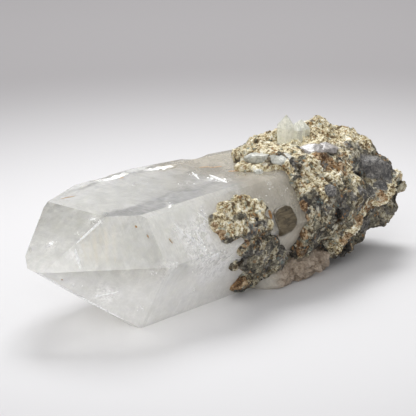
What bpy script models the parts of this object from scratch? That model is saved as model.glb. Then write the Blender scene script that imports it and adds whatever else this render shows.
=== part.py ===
"""A quartz point lying on one of its prism faces, with the rock that it grew in round its far end.

The crystal is a hexagonal prism closed by six rhombohedral faces, at the angle that quartz always has.
Each of its faces has its own distance from the axis, because a natural point is uneven.
Places in the tables are (back, across, height) in millimetres: back runs from the tip along the axis,
across runs from the axis toward the far side, and height runs up from the surface that it rests on.
"""

import math

import bmesh
import bpy
from mathutils import Matrix, Vector, noise

# Driving dimensions, in millimetres
MM = 0.001
MIDDLE_BACK = 99.35
MIDDLE_ACROSS = 1.8
AXIS_BACK = 41.3
AXIS_HEIGHT = 26.3
GAP = 0.3

# Quartz: the angle between the axis and the normal of a rhombohedral face
TIP_ANGLE = math.radians(51.79)

# One row for each of the six sides: its turn from straight up toward the near side in degrees,
# the distance of its prism face and the distance of its tip face from the axis point
SIDES = (
    (0, 21.65, 28.08),
    (60, 28.94, 26.71),
    (120, 26.80, 24.80),
    (180, 26.30, 24.46),
    (240, 30.00, 31.21),
    (300, 38.47, 35.60),
)
EDGE_BEVEL = (30, 28.5)

# The blocks that crystal and rock are cut from, each as two corners
CRYSTAL_BLOCK = ((-10, -60, -10), (170, 60, 70))
ROCK_BLOCK = ((100, -60, -10), (210, 60, 80))

# Flat breaks of the crystal: a place on the break and the way it faces
CRYSTAL_BREAKS = (
    ((80, 32, 48), (0.20, 0.82, 0.53)),
    ((137, 0, 0), (0.70, 0.0, -0.71)),
    ((147, 0, 30), (1.0, 0.1, 0.15)),
    ((139, 0, 48), (0.75, 0.1, 0.65)),
    ((21.4, -12.4, 46.6), (-0.72, -0.40, 0.61)),
    ((-0.1, 11.0, 28.8), (-0.57, 0.151, -0.807)),
    ((35.0, 27.2, 48), (-0.34, 0.86, 0.38)),
)

# Shell-like chips out of its edges: a place, the three radii and a turn about the upright in degrees
CRYSTAL_CHIPS = (
    ((64, 29, 50.5), (13, 5, 4), -8),
    ((88, 23, 50.0), (10, 6, 3.4), -20),
    ((49, -20.5, 50.6), (4, 3, 3.2), 10),
    ((66, -32.5, 23), (8, 3.2, 3), 4),
    ((58, 40, 30), (12, 4, 5), 0),
    ((95, 38, 34), (14, 6, 7), 6),
    ((3.5, 15, 35), (3, 3, 3), 0),
    ((111, 25, 49.6), (8, 5, 3), -15),
)

# The swelling of quartz at the crystal's near foot: places, radii and turns
FOOT_LUMPS = (
    ((111, -17.0, 4), (12, 10.5, 8), 0),
    ((125, -16.5, 5), (14, 12.5, 8), -6),
    ((135, -15.5, 5), (10, 11.0, 7), 0),
)

# The rock's blocky core: planes that bound it
ROCK_PLANES = (
    ((117.5, -20, 30), (-1.0, 0.0, 0.0)),
    ((121, 0, 40), (-0.75, 0.66, 0.0)),
    ((152, 3, 55.0), (-0.05, 0.34, 0.94)),
    ((152, 3, 55.0), (0.03, -0.24, 0.97)),
    ((160, -24, 42), (0.15, -0.72, 0.68)),
    ((150, -34.2, 29), (0.02, -1.0, 0.1)),
    ((150, -33.0, 25), (0.10, -0.84, -0.54)),
    ((142, 0, 5), (0.12, 0.0, -1.0)),
    ((172, 0, 9), (0.42, 0.0, -0.91)),
    ((191, -20, 17), (0.85, 0.0, -0.53)),
    ((195, -20, 26), (1.0, 0.1, 0.1)),
    ((185, -15, 38), (0.84, 0.0, 0.54)),
    ((174, 0, 49.5), (0.50, -0.05, 0.86)),
    ((180, 12, 30), (0.72, 0.70, 0.0)),
    ((150, 27, 30), (0.05, 1.0, 0.1)),
    ((150, 24, 42), (0.0, 0.70, 0.71)),
    ((150, 22, 14), (0.0, 0.66, -0.75)),
    ((184, -25, 30), (0.55, -0.83, 0.0)),
)

# Lumps that grow out of the core, and the tongue of crust over the crystal's top face
ROCK_LUMPS = (
    ((113, -9, 48.0), (7, 8, 3.2), 20),
    ((120, -1, 48.5), (7, 9, 4.0), 20),
    ((127, 8, 47.6), (7, 9, 4.0), 30),
    ((134, 15, 46.2), (8, 8, 4.0), 30),
    ((122, -5, 50), (6.5, 6, 4.0), 0),
    ((132, -8, 49), (7, 5.5, 4.2), 10),
    ((139, 6, 52.8), (12, 8, 3.5), 10),
    ((154, 2, 53.4), (13, 8, 3.3), -5),
    ((166, 1, 52.9), (9, 8, 4.0), 10),
    ((174, -4, 49.5), (7, 7, 4), 0),
    ((154, -13, 46), (13, 5, 4), 4),
    ((180, -9, 44), (8, 8, 5), 0),
    ((173, -20, 35.5), (9, 8, 8), 10),
    ((186, -20, 28.5), (8, 6, 5.5), 0),
    ((164, -28, 24), (12, 4.5, 5), -28),
    ((148, -29.5, 17), (11, 4.5, 6), -10),
    ((129, -29.5, 32), (10, 4.5, 9), 0),
    ((138, -29, 23), (9, 6, 8), 0),
    ((125, -25.5, 22), (6, 4.5, 8), 0),
    ((174, -18.5, 13.4), (11, 8, 5), 8),
    ((160, -19, 9.5), (9, 7, 4.2), 0),
    ((148, -23, 8), (10, 7, 5), 0),
    ((193, -20.5, 26), (7, 5.5, 5), 0),
    ((184, -18.5, 15.5), (10, 7, 5.5), -10),
    ((150, 22, 30), (14, 6, 10), 0),
    ((144, 23, 36), (8, 6, 8), 10),
    ((166, 14, 38), (11, 8, 8), -20),
    ((166, 16, 22), (13, 8, 8), -20),
    ((146, 21, 18), (9, 7, 8), 0),
)

# Hollows pressed into the rock: a place on its surface, a radius and a depth
ROCK_HOLLOWS = (
    ((170, -31, 37), 8, 4.5),
    ((162, -33, 33), 5, 3.5),
    ((170, -33, 18), 8, 4.0),
    ((182, -28, 22), 6, 3.5),
    ((144, -8, 53), 5, 3.0),
    ((138, -3, 56), 4, 3.0),
    ((148, -30, 38), 5, 3.0),
    ((150, 28, 40), 9, 3.5),
    ((176, 14, 28), 8, 3.5),
    ((140, 28, 20), 7, 3.0),
    ((192, -8, 26), 7, 3.0),
    ((166, 10, 56), 6, 2.5),
)

# The crust of the same rock on the crystal's near side, in two lobes
CRUST_LUMPS = (
    ((70, -27.5, 38), (5.5, 4, 5.5), 0),
    ((77, -25.5, 40.5), (6.5, 4, 5), 0),
    ((86, -25, 41.5), (6.5, 4.5, 4.5), 0),
    ((91, -27.5, 37.5), (5.5, 4.5, 5), 0),
    ((80, -28.5, 36), (8, 4.5, 6), 0),
    ((73, -30, 34), (6, 4, 4.5), 0),
    ((85, -30.5, 32.5), (8, 4.5, 5.5), 0),
    ((92, -31, 31), (6, 4, 5), 0),
    ((84, -30.5, 26), (8, 4.5, 5), 0),
    ((94, -29.5, 23), (9, 5, 6.5), 0),
    ((90, -27, 17), (9, 5, 6), 0),
    ((103, -25, 15), (8, 5, 7), 0),
    ((110, -22.5, 11), (5, 4, 5), 0),
    ((103, -20.5, 8), (8, 4.5, 4.5), 0),
    ((94, -20.5, 8), (8, 4.5, 5), 0),
    ((90, -18.5, 4.6), (6, 3.5, 3.2), 0),
    ((79, -26.5, 17.5), (4.2, 3.2, 3.2), 0),
)
CRUST_HOLLOWS = (
    ((82, -29.5, 17.5), 3.5, 3.5),
    ((93, -33, 33.5), 2.5, 2.0),
)

# The small crystal set in the near face: corners as (back, distance down the face from its top edge)
SET_OUTLINE = (
    (101.4, 15.6), (104.4, 14.3), (108.6, 13.9), (111.6, 15.2), (112.0, 18.0),
    (112.4, 20.4), (110.4, 23.0), (107.0, 24.4), (103.2, 24.3), (101.0, 22.4),
)
SET_DEPTH = 5.0
SET_PROUD = 0.5

# Side crystals: the middle of the base, the radius, the heights of shaft and point,
# and the lean and turn in degrees
SIDE_CRYSTALS = (
    ((141.6, -0.5, 50.0), 4.4, 9.6, 5.0, (-4, 3), 12),
    ((151.5, 1.0, 49.0), 4.6, 7.8, 3.2, (5, 6), 40),
    ((145.6, -1.5, 49.0), 3.6, 8.2, 3.2, (6, 4), 25),
)
SIDE_TAPER = 0.94

# The rough skins: voxel size, triangles wanted, and the heights of coarse and fine roughness
ROCK_SKIN = (1.5, 5200, 2.6, 0.5)
CRUST_SKIN = (0.9, 1300, 1.4, 0.35)
COARSE_PITCH = 10.0
FINE_PITCH = 2.2


def place(back, across, height):
    """A table's place as a point in metres, with the origin under the middle of the specimen."""
    return Vector((back - MIDDLE_BACK, across - MIDDLE_ACROSS, height)) * MM


def facing(turn, lean=0.0):
    """The unit normal of a crystal face: turned about the axis, and leaning toward the tip by lean radians."""
    angle = math.radians(turn)
    out = Vector((0.0, -math.sin(angle), math.cos(angle)))
    return out * math.cos(lean) + Vector((-1.0, 0.0, 0.0)) * math.sin(lean)


def material(name, color, roughness, transmission=0.0):
    """A plain Principled finish."""
    made = bpy.data.materials.new(name)
    made.use_nodes = True
    shader = made.node_tree.nodes["Principled BSDF"]
    shader.inputs["Base Color"].default_value = (*color, 1.0)
    shader.inputs["Roughness"].default_value = roughness
    shader.inputs["Metallic"].default_value = 0.0
    shader.inputs["Transmission Weight"].default_value = transmission
    made.diffuse_color = (*color, 1.0)
    return made


def collection(name, hidden=False):
    made = bpy.data.collections.new(name)
    bpy.context.scene.collection.children.link(made)
    made.hide_render = hidden
    return made


def add_object(name, bm, home, finish=None):
    """Turns a bmesh into a named object in the collection."""
    mesh = bpy.data.meshes.new(name)
    bmesh.ops.recalc_face_normals(bm, faces=bm.faces)
    bm.to_mesh(mesh)
    bm.free()
    made = bpy.data.objects.new(name, mesh)
    home.objects.link(made)
    if finish:
        mesh.materials.append(finish)
    return made


def as_cutter(made):
    made.hide_render = True
    made.display_type = "WIRE"
    return made


def slice_off(bm, point, normal):
    """Takes away what lies beyond a plane and closes the cut with one flat face."""
    everything = bm.verts[:] + bm.edges[:] + bm.faces[:]
    cut = bmesh.ops.bisect_plane(
        bm, geom=everything, dist=1e-7, plane_co=point, plane_no=normal, clear_outer=True
    )
    rim = [item for item in cut["geom_cut"] if isinstance(item, bmesh.types.BMEdge)]
    if rim:
        bmesh.ops.contextual_create(bm, geom=rim)


def block(low, high):
    """A box between two corners."""
    bm = bmesh.new()
    bmesh.ops.create_cube(bm, size=1.0)
    bmesh.ops.scale(bm, vec=high - low, verts=bm.verts)
    bmesh.ops.translate(bm, vec=(low + high) / 2, verts=bm.verts)
    return bm


def add_lump(bm, spot, radii, turn, rounds=3):
    """Adds one egg-shaped lump to a bmesh."""
    made = bmesh.ops.create_icosphere(bm, subdivisions=rounds, radius=MM)
    bmesh.ops.transform(
        bm,
        verts=made["verts"],
        matrix=Matrix.Translation(place(*spot))
        @ Matrix.Rotation(math.radians(turn), 4, "Z")
        @ Matrix.Diagonal((*radii, 1.0)),
    )


def combine(made, other, operation, solver="EXACT"):
    """Adds a Boolean of another object."""
    modifier = made.modifiers.new(f"{operation.title()} {other.name}", "BOOLEAN")
    modifier.operation = operation
    modifier.solver = solver
    modifier.object = other


def apply_all(made):
    """Replaces an object's mesh by its evaluated one."""
    bpy.context.view_layer.update()
    graph = bpy.context.evaluated_depsgraph_get()
    mesh = bpy.data.meshes.new_from_object(made.evaluated_get(graph))
    made.modifiers.clear()
    made.data = mesh


def keep_largest(made):
    """Deletes all but the largest loose piece of a mesh."""
    bm = bmesh.new()
    bm.from_mesh(made.data)
    left = set(bm.verts)
    pieces = []
    while left:
        piece = set()
        front = [left.pop()]
        while front:
            vert = front.pop()
            piece.add(vert)
            for edge in vert.link_edges:
                other = edge.other_vert(vert)
                if other in left:
                    left.remove(other)
                    front.append(other)
        pieces.append(piece)
    largest = max(pieces, key=len)
    bmesh.ops.delete(bm, geom=[vert for vert in bm.verts if vert not in largest], context="VERTS")
    bm.to_mesh(made.data)
    bm.free()


def crystal_body(growth):
    """The prism and its point, cut from a block by the crystal's own planes and by its breaks."""
    middle = place(AXIS_BACK, 0, AXIS_HEIGHT)
    bm = block(*(place(*corner) for corner in CRYSTAL_BLOCK))
    for turn, prism_distance, tip_distance in SIDES:
        for lean, distance in ((0.0, prism_distance), (math.pi / 2 - TIP_ANGLE, tip_distance)):
            normal = facing(turn, lean)
            slice_off(bm, middle + normal * (distance + growth) * MM, normal)
    bevel = facing(EDGE_BEVEL[0])
    slice_off(bm, middle + bevel * (EDGE_BEVEL[1] + growth) * MM, bevel)
    for spot, direction in CRYSTAL_BREAKS:
        normal = Vector(direction).normalized()
        slice_off(bm, place(*spot) + normal * growth * MM, normal)
    return bm


def crystal_and_foot(name, growth, home, cutters):
    """The crystal joined with its foot, every face moved out by growth millimetres."""
    made = add_object(name, crystal_body(growth), home)
    for number, (spot, radii, turn) in enumerate(FOOT_LUMPS):
        foot = bmesh.new()
        add_lump(foot, spot, [radius + growth for radius in radii], turn)
        slice_off(foot, place(0, 0, -growth), Vector((0, 0, -1)))
        other = as_cutter(add_object(f"{name} foot {number}", foot, cutters))
        combine(made, other, "UNION", "MANIFOLD")
    apply_all(made)
    return made


def lump_object(name, lumps, home, rounds=3):
    """One mesh of several lumps, which may overlap."""
    bm = bmesh.new()
    for spot, radii, turn in lumps:
        add_lump(bm, spot, radii, turn, rounds)
    return add_object(name, bm, home)


def build_point(parts, cutters, finish):
    """The main crystal with its foot and chipped edges."""
    point = crystal_and_foot("quartz_point", 0.0, parts, cutters)
    point.data.materials.append(finish)
    for number, chip in enumerate(CRYSTAL_CHIPS):
        combine(point, as_cutter(lump_object(f"chip {number}", (chip,), cutters)), "DIFFERENCE")
    return point


def set_crystal_shape(proud, depth, widen):
    """The small crystal's block: its outline on the near upper face, widened, and extruded into the quartz."""
    turn, distance, _ = SIDES[1]
    out = facing(turn)
    down = out.cross(Vector((1.0, 0.0, 0.0)))
    if down.z > 0:
        down = -down
    top_edge = place(AXIS_BACK, 0, AXIS_HEIGHT) + out * distance * MM
    rise = (SIDES[0][1] * MM - out.z * distance * MM) / -down.z
    top_edge -= down * rise
    middle = sum((Vector(corner) for corner in SET_OUTLINE), Vector((0.0, 0.0))) / len(SET_OUTLINE)
    bm = bmesh.new()
    ring = []
    for back, run in SET_OUTLINE:
        flat = Vector((back, run))
        flat += (flat - middle).normalized() * widen
        base = Vector((place(flat.x, 0, 0).x, top_edge.y, top_edge.z)) + down * flat.y * MM
        ring.append(bm.verts.new(base + out * proud * MM))
    face = bm.faces.new(ring)
    walls = bmesh.ops.extrude_face_region(bm, geom=[face])
    far = [item for item in walls["geom"] if isinstance(item, bmesh.types.BMVert)]
    bmesh.ops.translate(bm, vec=out * -(proud + depth) * MM, verts=far)
    return bm


def build_set_crystal(parts, cutters, point, finish):
    """The small crystal in its pocket."""
    bm = set_crystal_shape(SET_PROUD, SET_DEPTH - GAP, 0.0)
    made = add_object("set_crystal", bm, parts, finish)
    pocket = add_object("set pocket", set_crystal_shape(3.0, SET_DEPTH, GAP), cutters)
    combine(point, as_cutter(pocket), "DIFFERENCE")
    return made


def roughen(made, hollows, coarse, fine):
    """Moves a rock's surface along its normals: hollows, then coarse and fine noise in millimetres."""
    bm = bmesh.new()
    bm.from_mesh(made.data)
    bm.normal_update()
    moves = []
    for vert in bm.verts:
        spot = vert.co / MM
        lift = coarse * noise.fractal(spot / COARSE_PITCH, 1.0, 2.0, 3)
        lift += fine * noise.noise(spot / FINE_PITCH)
        for place_in, radius, depth in hollows:
            reach = (spot - place(*place_in) / MM).length / radius
            if reach < 1.0:
                lift -= depth * (1.0 - reach * reach) ** 2
        moves.append(vert.normal * lift * MM)
    for vert, move in zip(bm.verts, moves):
        vert.co += move
    bm.to_mesh(made.data)
    bm.free()


def fuse(made, skin_row, hollows):
    """Fuses overlapping shapes into one rough skin and thins it to about the number of triangles."""
    voxel, triangles, coarse, fine = skin_row
    skin = made.modifiers.new("Fuse", "REMESH")
    skin.mode = "VOXEL"
    skin.voxel_size = voxel * MM
    skin.adaptivity = 0.0
    apply_all(made)
    keep_largest(made)
    roughen(made, hollows, coarse, fine)
    thin = made.modifiers.new("Thin", "DECIMATE")
    thin.ratio = min(1.0, triangles / (2.0 * len(made.data.polygons)))
    apply_all(made)


def build_rock(parts, clearances, finish):
    """The rock round the crystal's far end."""
    bm = block(*(place(*corner) for corner in ROCK_BLOCK))
    for spot, normal in ROCK_PLANES:
        slice_off(bm, place(*spot), Vector(normal).normalized())
    for spot, radii, turn in ROCK_LUMPS:
        add_lump(bm, spot, radii, turn)
    rock = add_object("matrix_rock", bm, parts, finish)
    fuse(rock, ROCK_SKIN, ROCK_HOLLOWS)
    for clearance in clearances:
        combine(rock, clearance, "DIFFERENCE", "MANIFOLD")
    apply_all(rock)
    keep_largest(rock)
    return rock


def build_crust(parts, clearances, finish):
    """The two-lobed crust on the near side."""
    crust = lump_object("front_crust", CRUST_LUMPS, parts)
    crust.data.materials.append(finish)
    fuse(crust, CRUST_SKIN, CRUST_HOLLOWS)
    for clearance in clearances:
        combine(crust, clearance, "DIFFERENCE", "MANIFOLD")
    apply_all(crust)
    keep_largest(crust)
    return crust


def side_crystal(row, growth):
    """One six-sided crystal with its point, as a bmesh, every face moved out by growth millimetres."""
    spot, radius, shaft, point, (lean_back, lean_across), turn = row
    wide = (radius + growth / math.cos(math.radians(30))) * MM
    bm = bmesh.new()
    made = bmesh.ops.create_cone(
        bm, cap_ends=True, segments=6, radius1=wide, radius2=wide * SIDE_TAPER, depth=(shaft + growth) * MM
    )
    bmesh.ops.translate(bm, vec=(0, 0, (shaft - growth) / 2 * MM), verts=made["verts"])
    cap = max(bm.faces, key=lambda face: face.calc_center_median().z)
    tip = bmesh.ops.poke(bm, faces=[cap], offset=0.0)["verts"]
    bmesh.ops.translate(bm, vec=(radius * 0.2 * MM, 0, (point + growth) * MM), verts=tip)
    pose = (
        Matrix.Translation(place(*spot))
        @ Matrix.Rotation(math.radians(lean_back), 4, "Y")
        @ Matrix.Rotation(math.radians(lean_across), 4, "X")
        @ Matrix.Rotation(math.radians(turn), 4, "Z")
    )
    bmesh.ops.transform(bm, verts=bm.verts, matrix=pose)
    return bm


def side_group(name, growth, home, cutters):
    """The small crystals on the rock's top, grown together at their feet."""
    made = add_object(name, side_crystal(SIDE_CRYSTALS[0], growth), home)
    for number, row in enumerate(SIDE_CRYSTALS[1:]):
        other = add_object(f"{name} part {number}", side_crystal(row, growth), cutters)
        combine(made, as_cutter(other), "UNION")
    apply_all(made)
    return made


def main():
    for old in list(bpy.data.objects):
        bpy.data.objects.remove(old)
    parts = collection("Quartz point")
    cutters = collection("Cutters", hidden=True)
    clear_quartz = material("Milky clear quartz", (0.80, 0.82, 0.78), 0.12, 0.6)
    pale_quartz = material("Pale quartz", (0.74, 0.76, 0.70), 0.3, 0.3)
    grey_rock = material("Granular rock", (0.36, 0.32, 0.26), 0.9)
    crust_rock = material("Granular crust", (0.40, 0.34, 0.27), 0.9)
    olive = material("Olive crystal", (0.16, 0.13, 0.07), 0.35)

    point = build_point(parts, cutters, clear_quartz)
    build_set_crystal(parts, cutters, point, olive)
    side = side_group("side_crystals", 0.0, parts, cutters)
    side.data.materials.append(pale_quartz)
    around_point = as_cutter(crystal_and_foot("around the point", GAP, cutters, cutters))
    around_side = as_cutter(side_group("around the side crystals", GAP, cutters, cutters))
    build_rock(parts, (around_point, around_side), grey_rock)
    build_crust(parts, (around_point,), crust_rock)


if __name__ == "__main__":
    main()
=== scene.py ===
"""The looks of a large quartz point with its host rock, lying on a pale table.

Places are (back, across, height) in millimetres. Back runs from the crystal's tip along its axis, across
runs toward the far side, and height runs up from the table. place() turns them into the frame's metres.
"""

import math
import random

import bmesh
import bpy
from bpy.props import FloatProperty, FloatVectorProperty, IntProperty, PointerProperty
from mathutils import Matrix, Vector, noise
from mathutils.bvhtree import BVHTree


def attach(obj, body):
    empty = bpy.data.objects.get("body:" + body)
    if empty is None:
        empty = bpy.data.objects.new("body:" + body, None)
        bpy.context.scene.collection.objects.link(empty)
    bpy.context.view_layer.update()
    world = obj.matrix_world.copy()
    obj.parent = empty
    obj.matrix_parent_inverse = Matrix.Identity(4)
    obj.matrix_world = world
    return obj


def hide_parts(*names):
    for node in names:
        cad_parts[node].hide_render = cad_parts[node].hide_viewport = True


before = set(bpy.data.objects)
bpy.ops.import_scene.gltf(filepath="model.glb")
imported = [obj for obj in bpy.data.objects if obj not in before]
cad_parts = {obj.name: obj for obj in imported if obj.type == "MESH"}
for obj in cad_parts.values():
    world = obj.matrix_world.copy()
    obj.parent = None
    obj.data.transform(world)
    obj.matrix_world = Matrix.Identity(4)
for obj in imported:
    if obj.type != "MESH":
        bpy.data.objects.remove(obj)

bl_info = {
    "name": "Quartz point",
    "version": (1, 0, 0),
    "blender": (4, 5, 0),
    "location": "3D View > Sidebar > Quartz point",
    "description": "Dresses a quartz point, its host rock and its small crystals",
    "category": "Add Mesh",
}

MM = 0.001
FULL_TURN = 6.3
# Seeds of the flakes inside the crystal, of its shards painted white as glints and of the crumbs on the
# rock
FLAKE_SEED, SHARD_SEED, CRUMB_SEED = 7, 19, 41
QUARTZ_IOR = 1.54
# The frame's origin in the tables
MIDDLE_BACK = 99.35
MIDDLE_ACROSS = 1.8

# The camera, from fitting the crystal's edges to the photo: place, right and up in the frame, and lens
CAMERA_PLACE = (-588.4, -551.1, 269.7)
CAMERA_RIGHT = (0.6824, -0.7307, -0.0196)
CAMERA_UP = (0.2197, 0.1794, 0.9589)
CAMERA_LENS = 173.08


def place(back, across, height):
    """A place in the tables as a point in the frame, in metres."""
    return Vector((back - MIDDLE_BACK, across - MIDDLE_ACROSS, height)) * MM


def table_place(point):
    """The reverse of place(): a point in metres as (back, across, height) in millimetres."""
    return Vector((point.x / MM + MIDDLE_BACK, point.y / MM + MIDDLE_ACROSS, point.z / MM))


def limited(value):
    """A value kept between 0 and 1."""
    return min(1.0, max(0.0, value))


def smooth(value, low, high):
    """A soft step from 0 at low to 1 at high."""
    reach = limited((value - low) / (high - low))
    return reach * reach * (3.0 - 2.0 * reach)


def zone(spot, rows):
    """The strongest of some soft round zones at a place: rows of centre, radius and strength."""
    best = 0.0
    for centre, radius, strength in rows:
        away = (spot - Vector(centre)).length / radius
        if away < 1.0:
            best = max(best, strength * smooth(1.0 - away, 0.0, 0.55))
    return best


# Shader maths


class Sock:
    """A shader socket that takes part in Python sums: an operation adds its Math node."""

    def __init__(self, tree, socket):
        self.tree = tree
        self.socket = socket

    def math(self, operation, *values, clamp=False):
        node = self.tree.nodes.new("ShaderNodeMath")
        node.operation = operation
        node.use_clamp = clamp
        for slot, value in zip(node.inputs, values):
            if isinstance(value, Sock):
                self.tree.links.new(value.socket, slot)
            else:
                slot.default_value = value
        return Sock(self.tree, node.outputs[0])

    def __add__(self, other):
        return self.math("ADD", self, other)

    __radd__ = __add__

    def __mul__(self, other):
        return self.math("MULTIPLY", self, other)

    __rmul__ = __mul__

    def __sub__(self, other):
        return self.math("SUBTRACT", self, other)

    def __rsub__(self, other):
        return self.math("SUBTRACT", other, self)

    def __truediv__(self, other):
        return self.math("DIVIDE", self, other)

    def __pow__(self, other):
        return self.math("POWER", self, other)

    def clamp(self):
        return self.math("ADD", self, 0.0, clamp=True)

    def step(self, low, high):
        """A soft step, from 0 at low to 1 at high."""
        node = self.tree.nodes.new("ShaderNodeMapRange")
        node.interpolation_type = "SMOOTHSTEP"
        self.tree.links.new(self.socket, node.inputs["Value"])
        node.inputs["From Min"].default_value = low
        node.inputs["From Max"].default_value = high
        return Sock(self.tree, node.outputs["Result"])


class Finish:
    """A material with a Principled shader, and short ways to add the nodes that feed it."""

    def __init__(self, name, **constants):
        self.material = bpy.data.materials.new(name)
        self.material.use_nodes = True
        self.tree = self.material.node_tree
        self.shader = self.tree.nodes["Principled BSDF"]
        for socket, value in constants.items():
            self.shader.inputs[socket.replace("_", " ")].default_value = value

    def node(self, kind, settings=None, **values):
        """A node of a type: its settings first, then the values or links of its sockets."""
        made = self.tree.nodes.new(kind)
        for key, value in (settings or {}).items():
            if key == "stops":
                self.set_stops(made.color_ramp, value)
            else:
                setattr(made, key, value)
        for key, value in values.items():
            slot = made.inputs[int(key[1:])] if key[1:].isdigit() else made.inputs[key.replace("_", " ")]
            if isinstance(value, Sock):
                self.tree.links.new(value.socket, slot)
            else:
                slot.default_value = value
        return made

    @staticmethod
    def set_stops(ramp, stops):
        """Places a colour ramp's stops."""
        while len(ramp.elements) < len(stops):
            ramp.elements.new(0.5)
        for element, (position, colour) in zip(ramp.elements, stops):
            element.position = position
            element.color = (*colour, 1.0)

    def sock(self, node, output=0):
        return Sock(self.tree, node.outputs[output])

    def coords(self, scale=(1.0, 1.0, 1.0), turn=(0.0, 0.0, 0.0)):
        """Object coordinates in millimetres, stretched by scale."""
        source = self.sock(self.node("ShaderNodeTexCoord"), "Object")
        stretched = tuple(part / MM for part in scale)
        return self.sock(self.node("ShaderNodeMapping", Vector=source, Scale=stretched, Rotation=turn))

    def noise(self, pitch, detail=2.0, rough=0.5, where=None, skew=0.0):
        """Soft noise from 0 to 1, with features about pitch millimetres across."""
        made = self.node(
            "ShaderNodeTexNoise", Vector=where or self.coords(), Scale=1.0 / pitch, Detail=detail,
            Roughness=rough, Distortion=skew,
        )
        return self.sock(made, "Fac")

    def cells(self, pitch, where=None, output="Distance", feature="F1"):
        """Cells about pitch millimetres across: the distance in each, or its colour."""
        where = where or self.coords()
        made = self.node("ShaderNodeTexVoronoi", {"feature": feature}, Vector=where, Scale=1.0 / pitch)
        return self.sock(made, output)

    def warped_cells(self, pitch, coords, scale, detail, warp):
        """Three random values for each of some cells, whose edges noise bends by warp millimetres."""
        push = self.node("ShaderNodeTexNoise", Vector=coords, Scale=scale, Detail=detail)
        moved = self.sock(self.node(
            "ShaderNodeVectorMath", {"operation": "MULTIPLY_ADD"},
            _0=self.sock(push, "Color"), _1=(warp, warp, warp), _2=coords,
        ))
        return self.split(self.cells(pitch, moved, "Color"))

    def attribute(self, name):
        """A value stored on the mesh's points."""
        return self.sock(self.node("ShaderNodeAttribute", {"attribute_name": name}), "Fac")

    def ramp(self, value, stops, interpolation="LINEAR"):
        """A colour from rows of place and colour."""
        made = self.node("ShaderNodeValToRGB", {"stops": stops}, Fac=value)
        made.color_ramp.interpolation = interpolation
        return self.sock(made, "Color")

    def mix(self, factor, first, second, blend="MIX"):
        """A colour between two colours: a Mix node's colours go in at 6 and 7, and come out at 2."""
        first, second = (part if isinstance(part, Sock) else (*part, 1.0) for part in (first, second))
        settings = {"data_type": "RGBA", "blend_type": blend}
        return self.sock(self.node("ShaderNodeMix", settings, _0=factor, _6=first, _7=second), 2)

    def split(self, colour):
        """The three channels of a colour, as values."""
        made = self.node("ShaderNodeSeparateColor", Color=colour)
        return [self.sock(made, number) for number in range(3)]

    def split_place(self, coords):
        """The three parts of a place, as values."""
        made = self.node("ShaderNodeSeparateXYZ", Vector=coords)
        return [self.sock(made, number) for number in range(3)]

    def feed(self, socket, value, shader=None):
        """Links a value to a socket of the first shader, or of another."""
        self.tree.links.new(value.socket, (shader or self.shader).inputs[socket])

    def nearness(self, coords, centre, radius):
        """1 at a place of the tables and 0 from radius millimetres on."""
        middle = tuple(place(*centre) / MM)
        way = self.node("ShaderNodeVectorMath", {"operation": "DISTANCE"}, _0=coords, _1=middle)
        return 1.0 - (self.sock(way, "Value") / radius).step(0.0, 1.0)

    def extra_shader(self, **constants):
        """A second Principled shader, with what is the same all over on its own sockets."""
        return self.node("ShaderNodeBsdfPrincipled", **constants)

    def output(self):
        return self.tree.nodes["Material Output"].inputs["Surface"]

    def mix_shader(self, factor, other):
        """Mixes another shader over what the output shows."""
        shown = Sock(self.tree, self.output().links[0].from_socket)
        made = self.node("ShaderNodeMixShader", _0=factor, _1=shown, _2=self.sock(other))
        self.tree.links.new(made.outputs[0], self.output())

    def let_lamps_through(self, tint):
        """Lets the light of lamps reach what lies inside and under the crystal."""
        clear = self.node("ShaderNodeBsdfTransparent", Color=(*tint, 1.0))
        self.mix_shader(self.sock(self.node("ShaderNodeLightPath"), "Is Shadow Ray"), clear)

    def absorb(self, colour, density):
        """Tints light by the way that it goes through the piece, in density per metre."""
        fog = self.node("ShaderNodeVolumeAbsorption", Color=(*colour, 1.0), Density=density)
        self.tree.links.new(fog.outputs["Volume"], self.tree.nodes["Material Output"].inputs["Volume"])

    def bump(self, height, distance, strength=1.0):
        """Relief from a height value, distance millimetres deep."""
        made = self.node("ShaderNodeBump", Height=height, Distance=distance * MM, Strength=strength)
        self.feed("Normal", self.sock(made))
        return self.sock(made)


# Mesh helpers


def new_object(name, bm=None, finish=None):
    """A named object from a bmesh, in the scene."""
    mesh = bpy.data.meshes.new(name)
    if bm:
        bm.to_mesh(mesh)
        bm.free()
    made = bpy.data.objects.new(name, mesh)
    bpy.context.scene.collection.objects.link(made)
    if finish:
        mesh.materials.append(finish)
    return made


def node_copy(node):
    """A CAD node's mesh as a bmesh, its doubles merged."""
    bm = bmesh.new()
    bm.from_mesh(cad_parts[node].data)
    bmesh.ops.remove_doubles(bm, verts=bm.verts, dist=MM * 0.001)
    return bm


def flat_crystal():
    """The main crystal's mesh, with one face for each of its flat faces."""
    bm = node_copy("quartz_point")
    bmesh.ops.dissolve_limit(bm, angle_limit=math.radians(0.6), verts=bm.verts, edges=bm.edges)
    return bm


def crystal_skin():
    """A search tree of the main crystal's faces."""
    bm = node_copy("quartz_point")
    skin = BVHTree.FromBMesh(bm)
    bm.free()
    return skin


def sharp_edges(bm, degrees):
    """The edges between two faces that meet at more than an angle."""
    limit = math.radians(degrees)
    return [edge for edge in bm.edges if len(edge.link_faces) == 2 and edge.calc_face_angle() > limit]


def round_edges(bm, edges, width, segments):
    """Rounds edges over a width in metres."""
    bmesh.ops.bevel(
        bm, geom=edges, offset=width, offset_type="OFFSET", segments=segments, profile=0.5,
        affect="EDGES", material=-1, clamp_overlap=True,
    )


def apply_all(made):
    """Replaces an object's mesh by its evaluated one."""
    bpy.context.view_layer.update()
    graph = bpy.context.evaluated_depsgraph_get()
    mesh = bpy.data.meshes.new_from_object(made.evaluated_get(graph))
    made.modifiers.clear()
    made.data = mesh


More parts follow.
